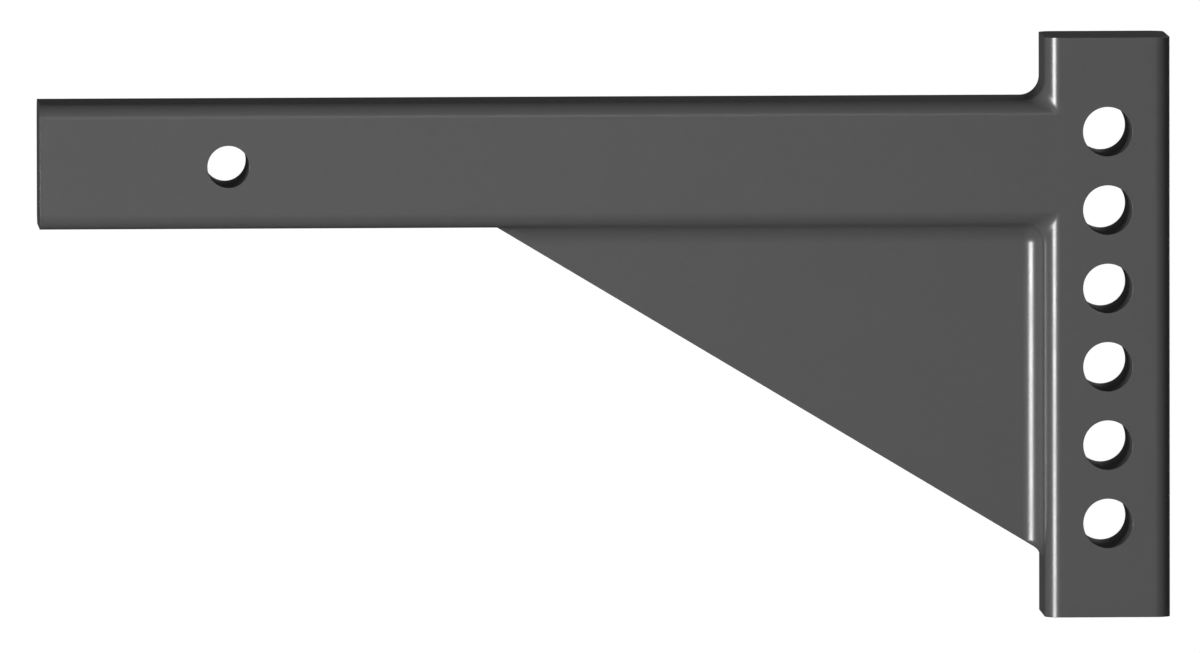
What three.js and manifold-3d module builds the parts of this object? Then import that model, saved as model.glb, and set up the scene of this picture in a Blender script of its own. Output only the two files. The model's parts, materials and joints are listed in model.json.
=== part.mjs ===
// The shank of a weight distribution hitch: a solid square bar that slides into a tow vehicle's
// receiver, a square post with a ladder of bolt holes welded across the bar's end, a triangular gusset
// plate in the corner under the bar, and the weld beads that hold the three together.
//
// Millimetres, +Z up. The origin is the centre of the hitch pin hole, +X runs along the bar to the
// post, and the holes run along Y.

import * as THREE from 'three';
import { mergeVertices } from 'three/addons/utils/BufferGeometryUtils.js';
import Module from 'manifold-3d';

const wasm = await Module();
wasm.setup();

// ------------------------------------------------------------ driving dimensions

const INCH = 25.4;

// Solid square stock, which both the receiver bar and the post are cut from, so that their sides are flush
const STOCK_SIDE = 2 * INCH;
const CORNER_RADIUS = 0.25 * INCH;

// Receiver bar
const BAR_LENGTH = 16 * INCH;
const PIN_BORE = 17;
const PIN_TO_BAR_END = 3 * INCH;

// Post, with its ladder of bolt holes
const BOLT_COUNT = 6;
const BOLT_PITCH = 1.25 * INCH;
const BOLT_BORE = 20;
const BOLT_TO_POST_END = 1.5 * INCH;
const POST_ABOVE_BAR = 1 * INCH;

// Gusset plate
const GUSSET_THICKNESS = 0.5 * INCH;
const CLEAR_BAR = 7.25 * INCH; // from the bar's free end to the gusset's tip
const POST_BELOW_GUSSET = 1 * INCH;

// Concave weld beads, and the clearance that every bead and every joint keeps
const WELD_RADIUS = 0.3125 * INCH;
const GAP = 0.3;

// Facets
const BORE_FACETS = 48;
const ARC_FACETS = 8; // in a quarter turn

// ------------------------------------------------------------ worked out from them

const STOCK_FACE = STOCK_SIDE / 2; // from the middle of the stock out to each face
const EDGE_START = STOCK_FACE - CORNER_RADIUS; // where the stock's rounded edges start

const BAR_START = -PIN_TO_BAR_END;
const BAR_TOP = STOCK_FACE;
const BAR_UNDERSIDE = -STOCK_FACE;

const POST_NEAR = BAR_START + BAR_LENGTH; // the post's face that the bar butts against
const POST_EDGE = POST_NEAR + CORNER_RADIUS;
const POST_MIDDLE = POST_NEAR + STOCK_FACE;
const POST_TOP = BAR_TOP + POST_ABOVE_BAR;
const POST_FOOT = POST_TOP - (BOLT_COUNT - 1) * BOLT_PITCH - 2 * BOLT_TO_POST_END;

const GUSSET_FACE = GUSSET_THICKNESS / 2;
const GUSSET_CORNER = new THREE.Vector2(POST_NEAR, BAR_UNDERSIDE);
const GUSSET_TIP = new THREE.Vector2(BAR_START + CLEAR_BAR, BAR_UNDERSIDE);
const GUSSET_TOE = new THREE.Vector2(POST_NEAR, POST_FOOT + POST_BELOW_GUSSET);

const QUARTER = Math.PI / 2;

// ------------------------------------------------------------ solids

function solidOf(geometry) {
  const bare = geometry.clone();
  bare.deleteAttribute('normal');
  bare.deleteAttribute('uv');
  const closed = mergeVertices(bare);
  const mesh = new wasm.Mesh({
    numProp: 3,
    vertProperties: new Float32Array(closed.attributes.position.array),
    triVerts: new Uint32Array(closed.index.array),
  });
  return new wasm.Manifold(mesh);
}

function geometryOf(solid) {
  const { vertProperties, triVerts } = solid.getMesh();
  const indexed = new THREE.BufferGeometry();
  indexed.setAttribute('position', new THREE.BufferAttribute(vertProperties, 3));
  indexed.setIndex(new THREE.BufferAttribute(triVerts, 1));
  const geometry = indexed.toNonIndexed();
  geometry.computeVertexNormals();
  return geometry;
}

// An outline is drawn across the first of these directions and up the second.
const OUTLINE_PLANES = {
  x: [new THREE.Vector3(0, 1, 0), new THREE.Vector3(0, 0, 1)],
  y: [new THREE.Vector3(1, 0, 0), new THREE.Vector3(0, 0, 1)],
  z: [new THREE.Vector3(1, 0, 0), new THREE.Vector3(0, 1, 0)],
};

function prism(outline, along, low, high) {
  const [across, up] = OUTLINE_PLANES[along];
  const out = new THREE.Vector3().crossVectors(across, up);
  const geometry = new THREE.ExtrudeGeometry(outline, {
    depth: high - low,
    bevelEnabled: false,
    curveSegments: ARC_FACETS / 2, // an arc has two facets for each of these
  });
  geometry.applyMatrix4(new THREE.Matrix4().makeBasis(across, up, out));
  const start = out[along] > 0 ? low : -high;
  geometry.translate(...out.multiplyScalar(start).toArray());
  return solidOf(geometry);
}

// The box between two opposite corners, given in any order
function block(cornerA, cornerB) {
  const box = new THREE.Box3().setFromPoints([cornerA, cornerB]);
  const size = box.getSize(new THREE.Vector3());
  const middle = box.getCenter(new THREE.Vector3());
  const geometry = new THREE.BoxGeometry(size.x, size.y, size.z);
  geometry.translate(middle.x, middle.y, middle.z);
  return solidOf(geometry);
}

function bore(diameter, x, z) {
  const length = 2 * STOCK_SIDE;
  const geometry = new THREE.CylinderGeometry(diameter / 2, diameter / 2, length, BORE_FACETS);
  geometry.translate(x, 0, z);
  return solidOf(geometry);
}

// ------------------------------------------------------------ square stock

// The stock's section, or with some extra the section of the room to leave round it
function stockSection(middle, extra) {
  const shape = new THREE.Shape();
  for (let corner = 0; corner < 4; corner += 1) {
    const turn = corner * QUARTER;
    const centre = new THREE.Vector2(EDGE_START, EDGE_START).rotateAround(new THREE.Vector2(), turn);
    centre.add(middle);
    shape.absarc(centre.x, centre.y, CORNER_RADIUS + extra, turn, turn + QUARTER, false);
  }
  return shape;
}

function barStock(from, to, extra = 0) {
  return prism(stockSection(new THREE.Vector2(0, 0), extra), 'x', from - extra, to + extra);
}

function postStock(extra = 0) {
  const section = stockSection(new THREE.Vector2(POST_MIDDLE, 0), extra);
  return prism(section, 'z', POST_FOOT - extra, POST_TOP + extra);
}

// ------------------------------------------------------------ receiver bar and post

function receiverBar() {
  return barStock(BAR_START, POST_NEAR - GAP).subtract(bore(PIN_BORE, 0, 0));
}

function post() {
  let solid = postStock();
  for (let hole = 0; hole < BOLT_COUNT; hole += 1) {
    const height = POST_TOP - BOLT_TO_POST_END - hole * BOLT_PITCH;
    solid = solid.subtract(bore(BOLT_BORE, POST_MIDDLE, height));
  }
  return solid;
}

// ------------------------------------------------------------ gusset plate

// The room under the bar and over the gusset's slope, out to some distance either side of the plate's middle
function overSlope(halfWidth) {
  return prism(new THREE.Shape([GUSSET_CORNER, GUSSET_TIP, GUSSET_TOE]), 'y', -halfWidth, halfWidth);
}

function gussetPlate() {
  const bar = barStock(BAR_START, POST_NEAR, GAP);
  return overSlope(GUSSET_FACE).subtract(bar).subtract(postStock(GAP));
}

// The plate with a clearance at its two faces and its slope, for cutting back the beads that lie against it
function gussetClearance() {
  const downSlope = GUSSET_TOE.clone().sub(GUSSET_TIP).normalize();
  const outward = new THREE.Vector2(downSlope.y, -downSlope.x).multiplyScalar(GAP);
  const outline = new THREE.Shape([
    GUSSET_CORNER,
    GUSSET_TIP,
    GUSSET_TIP.clone().add(outward),
    GUSSET_TOE.clone().add(outward),
    GUSSET_TOE,
  ]);
  return prism(outline, 'y', -GUSSET_FACE - GAP, GUSSET_FACE + GAP);
}

// ------------------------------------------------------------ beads beside the bar

// The post's rounded edge leaves a groove beside the bar. It is filled flush, as if the bar's section ran on.
function grooveFilling(extra = 0) {
  return prism(stockSection(new THREE.Vector2(0, 0), extra), 'x', POST_NEAR, POST_EDGE);
}

// Every bead is cut back from the steel that it lies against.
function trimBead(bead) {
  const bar = barStock(BAR_START, POST_NEAR - GAP, GAP);
  return bead.subtract(bar).subtract(postStock(GAP)).subtract(gussetClearance());
}

function barSideBead(side) {
  const nearMiddle = new THREE.Vector3(POST_NEAR, 0, -STOCK_SIDE);
  const farOut = new THREE.Vector3(POST_MIDDLE, side * STOCK_SIDE, STOCK_SIDE);
  return trimBead(grooveFilling().intersect(block(nearMiddle, farOut)));
}

// ------------------------------------------------------------ beads over and under the bar

// The face of such a bead is what a ball leaves that rolls along the joint. Between the stock's rounded
// edges the ball touches flat steel, and its path is straight along Y. Round the edges the path turns
// outward, until the ball touches the flush sides of bar and post and the bead has run out to nothing.
const ROLL_RADIUS = CORNER_RADIUS + WELD_RADIUS;

class BallPath extends THREE.Curve {
  // updown is 1 for the bead over the bar and -1 for the one under it.
  constructor(updown) {
    super();
    this.updown = updown;
  }

  // In thirds, the path is a quarter turn at the rear, the straight, and a quarter turn at the front.
  getPoint(t, point = new THREE.Vector3()) {
    const travel = 3 * (0.5 - t);
    const straight = THREE.MathUtils.clamp(travel, -0.5, 0.5);
    const turn = Math.abs(travel - straight) * QUARTER;
    const inset = ROLL_RADIUS * Math.cos(turn);
    const outward = Math.sign(travel) * ROLL_RADIUS * Math.sin(turn);
    const y = straight * 2 * EDGE_START + outward;
    return point.set(POST_EDGE - inset, y, this.updown * (EDGE_START + inset));
  }
}

function rollingBall(updown) {
  const section = new THREE.Shape().absarc(0, 0, WELD_RADIUS, 0, 4 * QUARTER, false);
  const geometry = new THREE.ExtrudeGeometry(section, {
    extrudePath: new BallPath(updown),
    steps: 6 * ARC_FACETS,
    curveSegments: 2 * ARC_FACETS,
  });
  return solidOf(geometry);
}

// All that the bead could fill: out to the chord between its two toes, which is straight between the
// rounded edges and a quarter of an ellipse round each of them.
function beadRoom(updown) {
  const toeDepth = (CORNER_RADIUS + ROLL_RADIUS) / Math.SQRT2;
  const outline = new THREE.Shape();
  outline.moveTo(0, -STOCK_FACE);
  outline.absellipse(0, -EDGE_START, toeDepth, CORNER_RADIUS, 3 * QUARTER, 4 * QUARTER, false);
  outline.absellipse(0, EDGE_START, toeDepth, CORNER_RADIUS, 0, QUARTER, false);
  const geometry = new THREE.ExtrudeGeometry(outline, {
    depth: 4 * WELD_RADIUS,
    bevelEnabled: false,
    curveSegments: ARC_FACETS,
  });
  geometry.translate(0, 0, -2 * WELD_RADIUS);
  const outward = new THREE.Vector3(-1, 0, updown).normalize();
  const across = new THREE.Vector3(0, 1, 0);
  const along = outward.clone().cross(across);
  geometry.applyMatrix4(new THREE.Matrix4().makeBasis(outward, across, along));
  geometry.translate(POST_EDGE, 0, updown * EDGE_START);
  return solidOf(geometry);
}

function barPostBead(updown) {
  return beadRoom(updown).subtract(rollingBall(updown)).subtract(grooveFilling(GAP));
}

function barTopBead() {
  return trimBead(barPostBead(1));
}

// The gusset splits the bead under the bar in two. Where a half meets the gusset's own beads, the three
// run together in a hollow of the same radius.
function barUndersideBead(side) {
  const hollow = new THREE.Vector3(
    POST_NEAR - WELD_RADIUS,
    side * (GUSSET_FACE + WELD_RADIUS),
    BAR_UNDERSIDE - WELD_RADIUS,
  );
  const farOut = new THREE.Vector3(POST_MIDDLE, side * STOCK_SIDE, 0);
  const runOut = barPostBead(-1).intersect(block(hollow, farOut));

  const ball = new THREE.SphereGeometry(WELD_RADIUS, 4 * ARC_FACETS, 2 * ARC_FACETS);
  ball.translate(hollow.x, hollow.y, hollow.z);
  const corner = new THREE.Vector3(POST_NEAR, 0, BAR_UNDERSIDE);
  const runTogether = block(hollow, corner).subtract(solidOf(ball));
  return trimBead(runTogether.add(runOut));
}

// ------------------------------------------------------------ beads round the gusset

// The section of a concave bead in a corner, with its two toes running out along unit directions a and b
function beadSection(corner, a, b) {
  const half = a.angleTo(b) / 2;
  const reach = WELD_RADIUS / Math.tan(half);
  const toeA = corner.clone().addScaledVector(a, reach);
  const toeB = corner.clone().addScaledVector(b, reach);
  const middle = a.clone().add(b).normalize();
  const centre = corner.clone().addScaledVector(middle, WELD_RADIUS / Math.sin(half));
  const from = toeA.clone().sub(centre).angle();
  const to = toeB.clone().sub(centre).angle();
  const shape = new THREE.Shape([corner, toeA]);
  shape.absarc(centre.x, centre.y, WELD_RADIUS, from, to, a.cross(b) > 0);
  return shape;
}

function gussetBarBead(side) {
  const corner = new THREE.Vector2(side * GUSSET_FACE, BAR_UNDERSIDE);
  const section = beadSection(corner, new THREE.Vector2(side, 0), new THREE.Vector2(0, -1));
  const bead = prism(section, 'x', GUSSET_TIP.x, POST_NEAR - WELD_RADIUS - GAP);
  return trimBead(bead.intersect(overSlope(STOCK_SIDE)));
}

function gussetPostBead(side) {
  const corner = new THREE.Vector2(POST_NEAR, side * GUSSET_FACE);
  const section = beadSection(corner, new THREE.Vector2(-1, 0), new THREE.Vector2(0, side));
  const bead = prism(section, 'z', GUSSET_TOE.y, BAR_UNDERSIDE - WELD_RADIUS - GAP);
  return trimBead(bead.intersect(overSlope(STOCK_SIDE)));
}

// The short bead that closes the weld round the gusset's toe
function gussetToeBead() {
  const upSlope = GUSSET_TIP.clone().sub(GUSSET_TOE).normalize();
  const section = beadSection(GUSSET_TOE, upSlope, new THREE.Vector2(0, -1));
  return trimBead(prism(section, 'y', -GUSSET_FACE, GUSSET_FACE));
}

// ------------------------------------------------------------ the shank

function coated(name, solid) {
  const coat = new THREE.MeshStandardMaterial({ color: 0x545454, roughness: 0.45, metalness: 0.1 });
  const mesh = new THREE.Mesh(geometryOf(solid), coat);
  mesh.name = name;
  return mesh;
}

const steel = new THREE.Group();
steel.add(coated('receiver_bar', receiverBar()));
steel.add(coated('post', post()));
steel.add(coated('gusset_plate', gussetPlate()));

const beads = new THREE.Group();
beads.add(coated('weld_bar_top', barTopBead()));
beads.add(coated('weld_gusset_toe', gussetToeBead()));
for (const [place, side] of [['front', -1], ['rear', 1]]) {
  beads.add(coated(`weld_bar_${place}`, barSideBead(side)));
  beads.add(coated(`weld_bar_underside_${place}`, barUndersideBead(side)));
  beads.add(coated(`weld_gusset_bar_${place}`, gussetBarBead(side)));
  beads.add(coated(`weld_gusset_post_${place}`, gussetPostBead(side)));
}

const shank = new THREE.Group();
shank.add(steel, beads);

export default shank;
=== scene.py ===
# The shank of a weight distribution hitch: a solid square receiver bar, a drilled square post welded across
# its end, a gusset plate in the corner under the bar, and the weld beads between them, all powder coated.
#
# Metres. +X runs along the bar to the post, +Y along the holes and +Z up. The front is the -Y side.

import json
from math import atan, cos, pi, radians, sin

import bmesh
import bpy
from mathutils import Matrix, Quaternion, Vector


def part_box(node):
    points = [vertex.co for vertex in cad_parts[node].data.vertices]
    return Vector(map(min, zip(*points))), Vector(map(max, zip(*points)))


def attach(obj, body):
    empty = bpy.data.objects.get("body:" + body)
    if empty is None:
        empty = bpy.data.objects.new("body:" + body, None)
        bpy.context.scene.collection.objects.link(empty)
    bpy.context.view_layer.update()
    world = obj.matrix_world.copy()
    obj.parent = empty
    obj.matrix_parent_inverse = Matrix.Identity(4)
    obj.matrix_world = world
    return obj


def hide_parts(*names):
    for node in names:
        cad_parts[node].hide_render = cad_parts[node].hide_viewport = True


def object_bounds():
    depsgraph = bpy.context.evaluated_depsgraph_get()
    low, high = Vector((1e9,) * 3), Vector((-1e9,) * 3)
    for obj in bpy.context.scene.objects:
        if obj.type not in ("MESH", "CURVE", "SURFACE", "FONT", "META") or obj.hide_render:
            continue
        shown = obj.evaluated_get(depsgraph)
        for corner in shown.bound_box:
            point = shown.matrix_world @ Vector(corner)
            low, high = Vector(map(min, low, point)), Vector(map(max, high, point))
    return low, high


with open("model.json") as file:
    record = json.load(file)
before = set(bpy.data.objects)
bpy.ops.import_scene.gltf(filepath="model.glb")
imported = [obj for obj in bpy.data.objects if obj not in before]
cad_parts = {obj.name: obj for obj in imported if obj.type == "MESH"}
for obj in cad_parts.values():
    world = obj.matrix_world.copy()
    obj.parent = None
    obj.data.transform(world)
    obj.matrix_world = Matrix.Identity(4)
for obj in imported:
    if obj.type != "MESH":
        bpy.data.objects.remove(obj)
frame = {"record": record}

cad_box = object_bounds()

# ------------------------------------------------------------ receiver bar
# A length of solid 2 in square bar with rolled edges, saw cut at its free end and drilled through for the
# hitch pin. The other end butts square against the post. The coat is one satin charcoal layer of powder
# over the finished weldment, thick enough to soften a saw line but not to hide it.

bar_low, bar_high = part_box("receiver_bar")
post_low, post_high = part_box("post")
holes = {opening["name"]: opening["box_m"] for opening in frame["record"]["physics"]["openings"]}


def hole_middle(name, axis):
    """Where a hole's middle is along an axis, 0 being X."""
    low, high = holes[name]
    return (low[axis] + high[axis]) / 2


bar_start = bar_low.x
bar_end = post_low.x  # the welded end reaches the post
pin_x = hole_middle("hitch_pin_hole", 0)
stock_face = bar_high.z  # from the middle of the stock out to each face
STOCK_CORNER = 0.00635  # radius of a rolled edge
edge_start = stock_face - STOCK_CORNER  # where a flat face gives way to its rolled edge
PIN_BORE = 0.017
BROKEN_EDGE = 0.00012  # radius of a cut edge or a drilled rim, taken off by the file and the coat

FLAT_STEPS = 16  # faces across a flat
TURN_STEPS = 16  # faces round a quarter turn of a rolled edge or a bead
RIM_STEPS = 4  # faces round a broken edge
SAME_POINT = 1e-7  # points closer than this are joined
CRISP_ANGLE = radians(35)  # an edge that bends more than this stays crisp

ALONG_BAR = Vector((1, 0, 0))
ALONG_HOLES = Vector((0, 1, 0))
UPRIGHT = Vector((0, 0, 1))


def shares(steps):
    return [i / steps for i in range(steps + 1)]


def quarter_turn(steps=TURN_STEPS):
    return [pi / 2 * share for share in shares(steps)]


def skin(mesh, rows, around=False):
    """Lay four-sided faces between each row of points and the next."""
    rows = [[mesh.verts.new(point) for point in row] for row in rows]
    for row, beyond in zip(rows, rows[1:]):
        for i in range(len(row) if around else len(row) - 1):
            j = (i + 1) % len(row)
            mesh.faces.new((row[i], row[j], beyond[j], beyond[i]))


def lid(mesh, points):
    mesh.faces.new([mesh.verts.new(point) for point in points])


def face_line(inset):
    """The stock's flat front face as points of (across, depth)."""
    return [(edge_start * (2 * share - 1), inset - stock_face) for share in shares(FLAT_STEPS)]


def side_line(inset):
    """The points from there round one side of the stock, over both of its rolled edges."""
    radius = STOCK_CORNER - inset
    near_edge = [
        (edge_start + radius * sin(turn), -edge_start - radius * cos(turn)) for turn in quarter_turn()
    ]
    far_edge = [(across, -depth) for across, depth in reversed(near_edge)]
    return near_edge + far_edge


def section(inset=0.0):
    """The stock's rounded square, or one that lies inset inside it."""
    half = face_line(inset)[:-1] + side_line(inset)[:-1]
    return half + [(-across, -depth) for across, depth in half]


def plain_length(mesh, start, end, place):
    """A length of stock without a hole. Place turns (along, across, depth) into a point of the shank."""
    skin(mesh, [[place(along, *point) for point in section()] for along in (start, end)], around=True)


def cut_end(mesh, end, inward, place):
    """A saw cut end. Its edge is broken all round, and inward is 1 or -1 along the stock."""
    rows = []
    for turn in quarter_turn(RIM_STEPS):
        along = end + inward * BROKEN_EDGE * (1 - cos(turn))
        rows.append([place(along, *point) for point in section(BROKEN_EDGE * (1 - sin(turn)))])
    skin(mesh, rows, around=True)
    lid(mesh, rows[0])


def drilled_length(mesh, start, end, bore, place):
    """A length of stock with a bore through the middle of its front and rear faces."""
    middle = (start + end) / 2
    stations = [start + (end - start) * share for share in shares(FLAT_STEPS)]
    for facing in (1, -1):
        side = [(facing * across, facing * depth) for across, depth in side_line(0.0)]
        skin(mesh, [[place(along, *point) for point in side] for along in stations])

    # The bore's wall and the face round each of its mouths are one run of rings, which starts and ends at the
    # face's oblong outline. Every ring has one point for each step of that outline.
    levels = [edge_start * (2 * share - 1) for share in shares(FLAT_STEPS)]
    outline = [(along, -edge_start) for along in stations[:-1]]
    outline += [(end, level) for level in levels[:-1]]
    outline += [(along, edge_start) for along in reversed(stations[1:])]
    outline += [(start, level) for level in reversed(levels[1:])]

    def circle(radius):
        first = -3 * pi / 4  # towards the outline's first corner
        turns = [first + 2 * pi * i / len(outline) for i in range(len(outline))]
        return [(middle + radius * cos(turn), radius * sin(turn)) for turn in turns]

    def between(share):
        rim = circle(bore / 2 + BROKEN_EDGE)
        return [(x0 + (x1 - x0) * share, y0 + (y1 - y0) * share) for (x0, y0), (x1, y1) in zip(outline, rim)]

    rear = [(between(share), stock_face) for share in shares(RIM_STEPS)]
    for turn in quarter_turn(RIM_STEPS)[1:]:
        ring = circle(bore / 2 + BROKEN_EDGE * (1 - sin(turn)))
        rear.append((ring, stock_face - BROKEN_EDGE * (1 - cos(turn))))
    rings = [(ring, -depth) for ring, depth in rear] + rear[::-1]
    skin(mesh, [[place(*point, depth) for point in ring] for ring, depth in rings], around=True)


def new_piece(name, mesh, coat):
    """Join the mesh's seams, turn its faces outward and make it an object, smooth over its curves and crisp
    at its edges."""
    bmesh.ops.remove_doubles(mesh, verts=mesh.verts, dist=SAME_POINT)
    bmesh.ops.recalc_face_normals(mesh, faces=mesh.faces)
    closed = all(edge.is_manifold for edge in mesh.edges)
    if closed and mesh.calc_volume(signed=True) < 0:
        bmesh.ops.reverse_faces(mesh, faces=mesh.faces)
    for face in mesh.faces:
        face.smooth = True
    for edge in mesh.edges:
        edge.smooth = edge.calc_face_angle(pi) < CRISP_ANGLE
    data = bpy.data.meshes.new(name)
    mesh.to_mesh(data)
    mesh.free()
    data.materials.append(coat)
    piece = bpy.data.objects.new(name, data)
    bpy.context.scene.collection.objects.link(piece)
    return piece


LARGEST_FACE_LEADS = 100  # the modifier's highest weight


def keep_flats_flat(piece):
    """Let the large faces set the shading where they meet a rolled or broken edge."""
    shading = piece.modifiers.new("flat_faces_lead", "WEIGHTED_NORMAL")
    shading.weight = LARGEST_FACE_LEADS
    shading.keep_sharp = True


CHARCOAL = 0.085
CHARCOAL_DRIFT = 0.025  # how far the charcoal strays either way, as a share of itself
CHARCOAL_PATCHES_PER_METRE = 300.0
SATIN = 0.295  # the coat's roughness
SATIN_DRIFT = 0.015
SATIN_PATCHES_PER_METRE = 70.0
GLOSS = 0.75
PEELS_PER_METRE = 700.0
PEEL_HEIGHT = 0.000012
NOISE_RANGE = (0.3, 0.7)  # where nearly all of a noise's values lie
CUT_FACE = 0.95  # a face belongs to a cut when its normal lies at least this much along the cut's own


def powder_coat(name, marks, marks_per_metre, mark_height, cut_facing=None):
    """Satin powder coat. The tool marks or ripples under it are lines across the direction marks, and are
    only on the faces that look along cut_facing, if that is given."""
    coat = bpy.data.materials.new(name)
    coat.use_nodes = True
    nodes = coat.node_tree.nodes
    links = coat.node_tree.links
    shader = nodes["Principled BSDF"]
    shader.inputs["Specular IOR Level"].default_value = GLOSS
    place = nodes.new("ShaderNodeTexCoord").outputs["Object"]

    def noise(per_metre, detail, vector=place):
        texture = nodes.new("ShaderNodeTexNoise")
        texture.inputs["Scale"].default_value = per_metre
        texture.inputs["Detail"].default_value = detail
        links.new(vector, texture.inputs["Vector"])
        return texture.outputs["Fac"]

    def spread(value, low, high):
        """Let a noise run from low to high."""
        limits = nodes.new("ShaderNodeMapRange")
        limits.inputs["From Min"].default_value = NOISE_RANGE[0]
        limits.inputs["From Max"].default_value = NOISE_RANGE[1]
        limits.inputs["To Min"].default_value = low
        limits.inputs["To Max"].default_value = high
        links.new(value, limits.inputs["Value"])
        return limits.outputs["Result"]

    def dot(vector, direction):
        product = nodes.new("ShaderNodeVectorMath")
        product.operation = "DOT_PRODUCT"
        product.inputs[1].default_value = direction
        links.new(vector, product.inputs[0])
        return product.outputs["Value"]

    def maths(operation, first, second=None, number=0.0):
        """Work on two values, or on one value and a number."""
        step = nodes.new("ShaderNodeMath")
        step.operation = operation
        step.inputs[1].default_value = number
        links.new(first, step.inputs[0])
        if second is not None:
            links.new(second, step.inputs[1])
        return step.outputs["Value"]

    def bump(height, distance, normal=None):
        relief = nodes.new("ShaderNodeBump")
        relief.inputs["Strength"].default_value = 1.0
        relief.inputs["Distance"].default_value = distance
        links.new(height, relief.inputs["Height"])
        if normal is not None:
            links.new(normal, relief.inputs["Normal"])
        return relief.outputs["Normal"]

    # The powder melts into a faint orange peel, and lies a little thicker in some places than in others.
    tone = nodes.new("ShaderNodeMix")
    tone.data_type = "RGBA"
    for end, drift in (("A", -CHARCOAL_DRIFT), ("B", CHARCOAL_DRIFT)):
        grey = CHARCOAL * (1 + drift)
        tone.inputs[end].default_value = (grey, grey, grey, 1.0)
    links.new(spread(noise(CHARCOAL_PATCHES_PER_METRE, detail=3.0), 0.0, 1.0), tone.inputs["Factor"])
    links.new(tone.outputs["Result"], shader.inputs["Base Color"])
    satin = spread(noise(SATIN_PATCHES_PER_METRE, detail=2.0), SATIN - SATIN_DRIFT, SATIN + SATIN_DRIFT)
    links.new(satin, shader.inputs["Roughness"])
    peel = bump(noise(PEELS_PER_METRE, detail=1.0), PEEL_HEIGHT)

    # One noise read along a single direction draws lines of uneven depth and spacing.
    along = dot(place, marks)
    line_place = nodes.new("ShaderNodeCombineXYZ")
    links.new(along, line_place.inputs["X"])
    lines = noise(marks_per_metre, detail=2.0, vector=line_place.outputs["Vector"])
    if cut_facing is not None:
        facing = maths("ABSOLUTE", dot(nodes.new("ShaderNodeNewGeometry").outputs["Normal"], cut_facing))
        on_the_cut = maths("GREATER_THAN", facing, number=CUT_FACE)
        lines = maths("MULTIPLY", lines, on_the_cut)
    links.new(bump(lines, mark_height, peel), shader.inputs["Normal"])
    return coat


SAW_LINES_PER_METRE = 600.0
SAW_LINE_HEIGHT = 0.00008

bar_coat = powder_coat("charcoal_coat_on_bar", UPRIGHT, SAW_LINES_PER_METRE, SAW_LINE_HEIGHT, ALONG_BAR)


def bar_place(along, across, depth):
    return Vector((along, depth, across))


mesh = bmesh.new()
cut_end(mesh, bar_start, 1, bar_place)
plain_length(mesh, bar_start + BROKEN_EDGE, pin_x - edge_start, bar_place)
drilled_length(mesh, pin_x - edge_start, pin_x + edge_start, PIN_BORE, bar_place)
plain_length(mesh, pin_x + edge_start, bar_end, bar_place)
lid(mesh, [bar_place(bar_end, *point) for point in section()])
bar = new_piece("shank_bar", mesh, bar_coat)
keep_flats_flat(bar)
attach(bar, "root")
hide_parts("receiver_bar")

# ------------------------------------------------------------ post
# A shorter length of the same bar, saw cut at both ends and stood across the bar's end. Six bolt holes are
# drilled through it, so that the hitch head can be bolted on at the height that suits the trailer.

post_middle = post_high.x - stock_face
BOLT_BORE = 0.020
bolt_heights = sorted(hole_middle(name, 2) for name in holes if name.startswith("bolt_hole"))
half_pitch = (bolt_heights[1] - bolt_heights[0]) / 2

post_coat = powder_coat("charcoal_coat_on_post", ALONG_BAR, SAW_LINES_PER_METRE, SAW_LINE_HEIGHT, UPRIGHT)


def post_place(along, across, depth):
    return Vector((post_middle + across, depth, along))


mesh = bmesh.new()
cut_end(mesh, post_low.z, 1, post_place)
plain_length(mesh, post_low.z + BROKEN_EDGE, bolt_heights[0] - half_pitch, post_place)
for height in bolt_heights:
    drilled_length(mesh, height - half_pitch, height + half_pitch, BOLT_BORE, post_place)
plain_length(mesh, bolt_heights[-1] + half_pitch, post_high.z - BROKEN_EDGE, post_place)
cut_end(mesh, post_high.z, -1, post_place)
post = new_piece("shank_post", mesh, post_coat)
keep_flats_flat(post)
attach(post, "root")
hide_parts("post")

# ------------------------------------------------------------ gusset plate
# A triangle of half inch plate, flame cut, set on edge under the bar and against the post. The cut leaves
# drag lines across its sloping edge, whose two corners are just taken off.

gusset_low, gusset_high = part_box("gusset_plate")
gusset_face = gusset_high.y
fall = (gusset_high.z - gusset_low.z) / (gusset_high.x - gusset_low.x)
steepness = atan(fall)
slope_down = Vector((cos(steepness), 0, -sin(steepness)))
slope_facing = Vector((sin(steepness), 0, cos(steepness)))
SUNK = 0.0005  # how far a hidden edge goes into the steel that it is welded to
DRAG_LINES_PER_METRE = 500.0
DRAG_LINE_HEIGHT = 0.00015


def slope_height(x):
    return gusset_high.z - (x - gusset_low.x) * fall


def slope_reach(height):
    return gusset_low.x + (gusset_high.z - height) / fall


plate_coat = powder_coat(
    "charcoal_coat_on_plate", slope_down, DRAG_LINES_PER_METRE, DRAG_LINE_HEIGHT, slope_facing,
)

rows = []
for x in (slope_reach(-stock_face), bar_end + SUNK):
    bottom = slope_height(x)
    lower_edge = []
    for turn in quarter_turn(RIM_STEPS):
        y = BROKEN_EDGE * (1 - cos(turn)) - gusset_face
        lower_edge.append((y, bottom + BROKEN_EDGE * (1 - sin(turn)) / cos(steepness)))
    outline = [(-gusset_face, 2 * SUNK - stock_face)] + lower_edge
    outline += [(-y, z) for y, z in reversed(outline)]
    rows.append([Vector((x, y, z)) for y, z in outline])
mesh = bmesh.new()
skin(mesh, rows, around=True)
lid(mesh, rows[0])
lid(mesh, rows[1])
gusset = new_piece("shank_gusset", mesh, plate_coat)
keep_flats_flat(gusset)
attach(gusset, "root")
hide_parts("gusset_plate")

# ------------------------------------------------------------ groove welds beside the bar
# The post's rolled edges leave a groove down each side of the joint. It is welded full and ground flush, so
# the side of the bar runs straight on into the side of the post.

post_edge = bar_end + STOCK_CORNER  # where the post's flat side starts
SIDES = {"front": -1, "rear": 1}

GRINDING_LINES_PER_METRE = 500.0
GRINDING_LINE_HEIGHT = 0.000004

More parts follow.
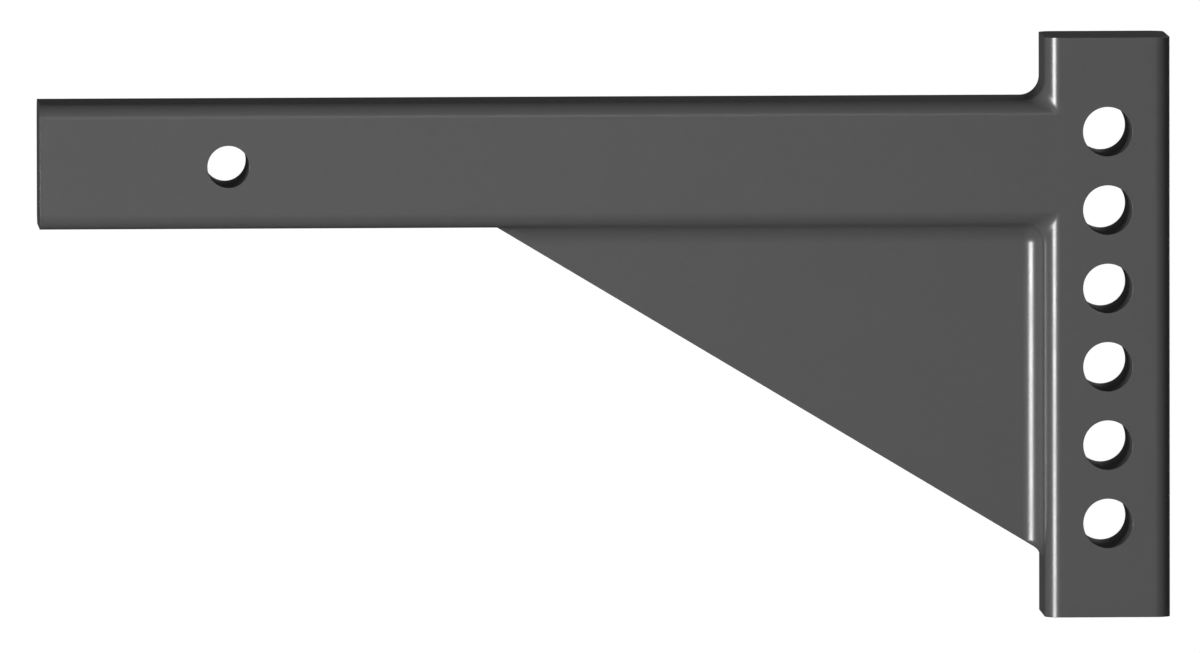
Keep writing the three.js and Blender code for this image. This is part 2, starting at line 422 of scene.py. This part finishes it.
ground_coat = powder_coat(
    "charcoal_coat_on_ground_weld", UPRIGHT, GRINDING_LINES_PER_METRE, GRINDING_LINE_HEIGHT,
)

for end, side in SIDES.items():
    rows = []
    for up, turns in ((1, quarter_turn()), (-1, quarter_turn()[::-1])):
        for turn in turns:
            y = side * (edge_start + STOCK_CORNER * sin(turn))
            z = up * (edge_start + STOCK_CORNER * cos(turn))
            post_touch = post_edge - STOCK_CORNER * cos(turn)
            rows.append([
                Vector((bar_end, y, z)),
                Vector((post_touch, y, z)),
                Vector((post_edge, side * edge_start, z)),
                Vector((bar_end, side * edge_start, z)),
            ])
    mesh = bmesh.new()
    skin(mesh, rows, around=True)
    groove = new_piece(f"groove_weld_{end}", mesh, ground_coat)
    keep_flats_flat(groove)
    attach(groove, "root")
    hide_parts(f"weld_bar_{end}")

# ------------------------------------------------------------ bead over the bar
# A smooth concave fillet bead between the top of the bar and the post. Round the stock's rolled edges it
# narrows, and it runs out to nothing where the sides of bar and post are flush.

WELD_RADIUS = 0.0079375  # radius of the ball that would leave the bead's hollow face
roll_radius = STOCK_CORNER + WELD_RADIUS  # from a rolled edge's middle to the ball's

RUN_OUT_STEPS = 48
BEHIND = 3  # points that close a bead behind its face; a run-out has them all in one place

HARDLY_AN_ARC = CRISP_ANGLE / 100

RIPPLES_PER_METRE = 260.0
RIPPLE_HEIGHT = 0.00001


def weld_coat(name, along):
    return powder_coat(name, along, RIPPLES_PER_METRE, RIPPLE_HEIGHT)


bead_coat_across = weld_coat("charcoal_coat_on_bead_across", ALONG_HOLES)


def hollow(centre, start, end):
    """Points from start to end along the arc round centre, or straight across if there is hardly an arc."""
    first = start - centre
    last = end - centre
    angle = first.angle(last, 0.0)
    if angle < HARDLY_AN_ARC:
        return [start.lerp(end, share) for share in shares(TURN_STEPS)]
    return [
        centre + (first * sin((1 - share) * angle) + last * sin(share * angle)) / sin(angle)
        for share in shares(TURN_STEPS)
    ]


def bead(name, rolls, coat):
    """A bead whose face is what a rolling ball leaves. Each roll is the ball's middle, the two points where
    it touches the steel, and the points that close the bead behind its face."""
    rows = [hollow(centre, start, end) + behind for centre, start, end, behind in rolls]
    mesh = bmesh.new()
    skin(mesh, rows, around=True)
    lid(mesh, rows[0])
    lid(mesh, rows[-1])
    return new_piece(name, mesh, coat)


def run_out(up, side):
    """The ball's rolls from the end of the flat faces outward, over or under the bar, at one side of it. The
    root of the bead lies a little inside both pieces of steel."""
    rolls = []
    for turn in quarter_turn(RUN_OUT_STEPS):
        def at(back, rise, out):
            x = post_edge - back * cos(turn)
            return Vector((x, side * (edge_start + out * sin(turn)), up * (edge_start + rise * cos(turn))))

        bar_touch = at(roll_radius, STOCK_CORNER, STOCK_CORNER)
        post_touch = at(STOCK_CORNER, roll_radius, STOCK_CORNER)
        root = at(STOCK_CORNER, STOCK_CORNER, STOCK_CORNER) + SUNK * Vector((1, -side, -up))
        rolls.append((at(roll_radius, roll_radius, roll_radius), bar_touch, post_touch, [root] * BEHIND))
    return rolls


top_bead = bead("bead_over_bar", run_out(1, 1)[::-1] + run_out(1, -1), bead_coat_across)
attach(top_bead, "root")
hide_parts("weld_bar_top")

# ------------------------------------------------------------ beads under the bar
# The same bead between the bar's underside and the post, split in two by the gusset. Beside the gusset it
# runs into the gusset's own two beads, and the three join in a round hollow.

ball_x = bar_end - WELD_RADIUS
ball_y = gusset_face + WELD_RADIUS
ball_z = -stock_face - WELD_RADIUS

for end, side in SIDES.items():
    rolls = []
    for turn in reversed(quarter_turn()):
        y = side * (ball_y - WELD_RADIUS * sin(turn))
        reach = WELD_RADIUS * cos(turn)
        behind = [
            Vector((bar_end + SUNK, y, ball_z)),
            Vector((bar_end + SUNK, y, SUNK - stock_face)),
            Vector((ball_x, y, SUNK - stock_face)),
        ]
        centre = Vector((ball_x, y, ball_z))
        rolls.append((centre, centre + UPRIGHT * reach, centre + ALONG_BAR * reach, behind))
    under_bead = bead(f"bead_under_bar_{end}", rolls + run_out(-1, side), bead_coat_across)
    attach(under_bead, "root")
    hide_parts(f"weld_bar_underside_{end}")

# ------------------------------------------------------------ beads between gusset and bar
# A long fillet bead down each side of the gusset's top edge. At the gusset's tip the two turn the corner and
# meet in the middle, where the bead thins out under the plate's sloping edge.


def slope_touch(centre, side):
    """Where a ball outside the gusset touches its sloping edge."""
    y = centre.y if abs(centre.y) < gusset_face else side * gusset_face
    corner = Vector((ball_x, y, slope_height(ball_x)))
    return corner + (centre - corner).dot(slope_down) * slope_down


def under_plate(touch, height):
    """A point a little inside the gusset beside touch, at that height."""
    return Vector((touch.x, touch.y * (1 - SUNK / gusset_face), height))


bead_coat_along = weld_coat("charcoal_coat_on_bead_along", ALONG_BAR)
tip_x = slope_reach(ball_z)  # where the slope reaches the height of the ball's middle
tip_reach = WELD_RADIUS / sin(steepness)

for end, side in SIDES.items():
    rolls = []
    for x in (ball_x, tip_x):
        centre = Vector((x, side * ball_y, ball_z))
        touch = Vector((x, side * gusset_face, ball_z))
        rolls.append((centre, touch))
    for turn in quarter_turn()[1:]:
        y = side * (gusset_face + WELD_RADIUS * cos(turn))
        centre = Vector((tip_x - tip_reach * sin(turn), y, ball_z))
        rolls.append((centre, slope_touch(centre, side)))
    centre = Vector((tip_x - tip_reach, 0, ball_z))
    rolls.append((centre, slope_touch(centre, side)))

    rolls = [
        (centre, touch, centre + UPRIGHT * WELD_RADIUS, [under_plate(touch, SUNK - stock_face)])
        for centre, touch in rolls
    ]
    long_bead = bead(f"bead_gusset_to_bar_{end}", rolls, bead_coat_along)
    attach(long_bead, "root")
    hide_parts(f"weld_gusset_bar_{end}")

# ------------------------------------------------------------ beads between gusset and post
# The same bead down each side of the gusset's upright edge, and a third piece that carries it round the
# gusset's lower end from one side to the other.

bead_coat_upright = weld_coat("charcoal_coat_on_bead_upright", UPRIGHT)
toe_z = slope_height(ball_x)  # where the slope reaches the ball's middle
toe_reach = WELD_RADIUS / cos(steepness)


def post_roll(centre, touch):
    behind = under_plate(touch, touch.z)
    behind.x = bar_end + SUNK
    return centre, touch, centre + ALONG_BAR * WELD_RADIUS, [behind]


def toe_turn(side):
    rolls = []
    for turn in quarter_turn():
        y = side * (gusset_face + WELD_RADIUS * cos(turn))
        centre = Vector((ball_x, y, toe_z - toe_reach * sin(turn)))
        rolls.append(post_roll(centre, slope_touch(centre, side)))
    return rolls


for end, side in SIDES.items():
    rolls = []
    for z in (ball_z, toe_z):
        centre = Vector((ball_x, side * ball_y, z))
        touch = Vector((ball_x, side * gusset_face, z))
        rolls.append(post_roll(centre, touch))
    post_bead = bead(f"bead_gusset_to_post_{end}", rolls, bead_coat_upright)
    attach(post_bead, "root")
    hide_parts(f"weld_gusset_post_{end}")

toe_bead = bead("bead_round_toe", toe_turn(1) + toe_turn(-1)[::-1], bead_coat_across)
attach(toe_bead, "root")
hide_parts("weld_gusset_toe")

# ------------------------------------------------------------ floor
# A plain pale studio floor, some way below the shank, which hangs from its pin. It is lit from within like a
# light table, and throws no light back on the steel.

middle = (cad_box[0] + cad_box[1]) / 2
FLOOR_DROP = 0.8
FLOOR_SIZE = 90.0
FLOOR_GLOW = 1.01
GRAIN_SCALE = 0.5
PALE = (1, 1, 1, 1)
LESS_PALE = (0.99, 0.99, 0.99, 1)
UNDER_THE_GLOW = (0.05, 0.05, 0.05, 1)

floor_paint = bpy.data.materials.new("pale_floor_paint")
floor_paint.use_nodes = True
nodes = floor_paint.node_tree.nodes
grain = nodes.new("ShaderNodeTexNoise")
grain.inputs["Scale"].default_value = GRAIN_SCALE
floor_tone = nodes.new("ShaderNodeMix")
floor_tone.data_type = "RGBA"
floor_tone.inputs["A"].default_value = LESS_PALE
floor_tone.inputs["B"].default_value = PALE
paint = nodes["Principled BSDF"]
paint.inputs["Roughness"].default_value = 1.0
paint.inputs["Specular IOR Level"].default_value = 0.0
paint.inputs["Base Color"].default_value = UNDER_THE_GLOW
paint.inputs["Emission Strength"].default_value = FLOOR_GLOW
links = floor_paint.node_tree.links
links.new(nodes.new("ShaderNodeTexCoord").outputs["Object"], grain.inputs["Vector"])
links.new(grain.outputs["Fac"], floor_tone.inputs["Factor"])
links.new(floor_tone.outputs["Result"], paint.inputs["Emission Color"])

reach = FLOOR_SIZE / 2
floor_z = cad_box[0].z - FLOOR_DROP
corners = ((-reach, -reach), (reach, -reach), (reach, reach), (-reach, reach))
mesh = bmesh.new()
lid(mesh, [Vector((middle.x + x, y, floor_z)) for x, y in corners])
floor = new_piece("studio_floor", mesh, floor_paint)
floor.visible_diffuse = False
floor.visible_glossy = False

# ------------------------------------------------------------ light
# Soft studio lamps round the shank. The key is a long low softbox on the left, which draws the bright line
# down each bead. Two round ones light the front, and a small one above them draws the line along the bar's
# top edge. The rest keep the far sides from going black.


def towards(azimuth, elevation):
    """The direction from the shank to something at that azimuth, 0 being the front, and that elevation."""
    across, height = radians(azimuth), radians(elevation)
    return Vector((sin(across) * cos(height), -cos(across) * cos(height), sin(height)))


def softbox(name, azimuth, elevation, distance, width, height, radiance, diffuse=True, glossy=True):
    """A round or oval lamp that faces the shank, for its diffuse light, its reflection or both. Radiance is
    in watts per square metre and steradian."""
    box = bpy.data.lights.new(name, "AREA")
    box.shape = "ELLIPSE"
    box.size = width
    box.size_y = height
    area = pi * width * height / 4
    box.energy = radiance * pi * area
    lamp = bpy.data.objects.new(name, box)
    lamp.location = middle + towards(azimuth, elevation) * distance
    lamp.rotation_mode = "QUATERNION"
    lamp.rotation_quaternion = towards(azimuth, elevation).to_track_quat("Z", "Y")
    lamp.visible_camera = False
    lamp.visible_diffuse = diffuse
    lamp.visible_glossy = glossy
    bpy.context.scene.collection.objects.link(lamp)


softbox("key_softbox", azimuth=-43, elevation=-1.8, distance=6.0, width=2.7, height=0.6, radiance=60.0)
softbox(
    "left_softbox", azimuth=-43, elevation=-4, distance=2.0,
    width=1.0, height=1.0, radiance=5.6, glossy=False,
)
softbox(
    "front_softbox", azimuth=-3, elevation=-3, distance=1.2,
    width=0.48, height=0.48, radiance=5.15, glossy=False,
)
softbox(
    "front_strip", azimuth=2, elevation=17, distance=3.0,
    width=0.6, height=0.3, radiance=4.3, diffuse=False,
)
softbox(
    "rear_softbox", azimuth=150, elevation=5, distance=4.0,
    width=3.0, height=3.0, radiance=7.0, glossy=False,
)
softbox("rear_right_softbox", azimuth=150, elevation=35, distance=3.0, width=1.4, height=1.0, radiance=3.0)
softbox(
    "rear_left_softbox", azimuth=215, elevation=35, distance=3.0,
    width=1.4, height=1.0, radiance=3.0, glossy=False,
)

ROOM_LIGHT = 0.085
ROOM_REFLECTION = 0.02
BACKDROP = 1.0  # how bright the room is behind the shank

world = bpy.data.worlds.new("studio")
world.use_nodes = True
bpy.context.scene.world = world
nodes = world.node_tree.nodes
links = world.node_tree.links
room = nodes["Background"]
room.inputs["Color"].default_value = PALE
ray = nodes.new("ShaderNodeLightPath")
in_the_coat = nodes.new("ShaderNodeMix")
in_the_coat.inputs["A"].default_value = ROOM_LIGHT
in_the_coat.inputs["B"].default_value = ROOM_REFLECTION
links.new(ray.outputs["Is Glossy Ray"], in_the_coat.inputs["Factor"])
brightness = nodes.new("ShaderNodeMix")
brightness.inputs["B"].default_value = BACKDROP
links.new(in_the_coat.outputs["Result"], brightness.inputs["A"])
links.new(ray.outputs["Is Camera Ray"], brightness.inputs["Factor"])
links.new(brightness.outputs["Result"], room.inputs["Strength"])

# ------------------------------------------------------------ camera
# A very long lens a good way off, a little to the left of the holes' line and a little above the bar. Seen
# from there, each hole shows a crescent of its wall at the bottom right.

MILLIMETRES = 1000  # in a metre
LENS = 0.9
SENSOR = 0.036
FRAME_WIDTH = 0.4849  # how much of the front face's plane the frame takes in
AZIMUTH = -2.5
ELEVATION = 3.67
TILT = -0.11
FAR_AWAY = 100.0  # the camera sees nothing beyond this
AIM = Vector((-0.0013, 0, -0.0002))  # from the middle of the shank

camera_data = bpy.data.cameras.new("camera")
camera_data.lens = LENS * MILLIMETRES
camera_data.sensor_width = SENSOR * MILLIMETRES
camera_data.clip_end = FAR_AWAY
camera = bpy.data.objects.new("camera", camera_data)
back = towards(AZIMUTH, ELEVATION)
camera.location = middle + AIM + back * (FRAME_WIDTH * LENS / SENSOR + stock_face)
camera.rotation_mode = "QUATERNION"
camera.rotation_quaternion = (-back).to_track_quat("-Z", "Y") @ Quaternion((0, 0, 1), radians(TILT))
bpy.context.scene.collection.objects.link(camera)
bpy.context.scene.camera = camera
bpy.context.scene.view_settings.view_transform = "Standard"
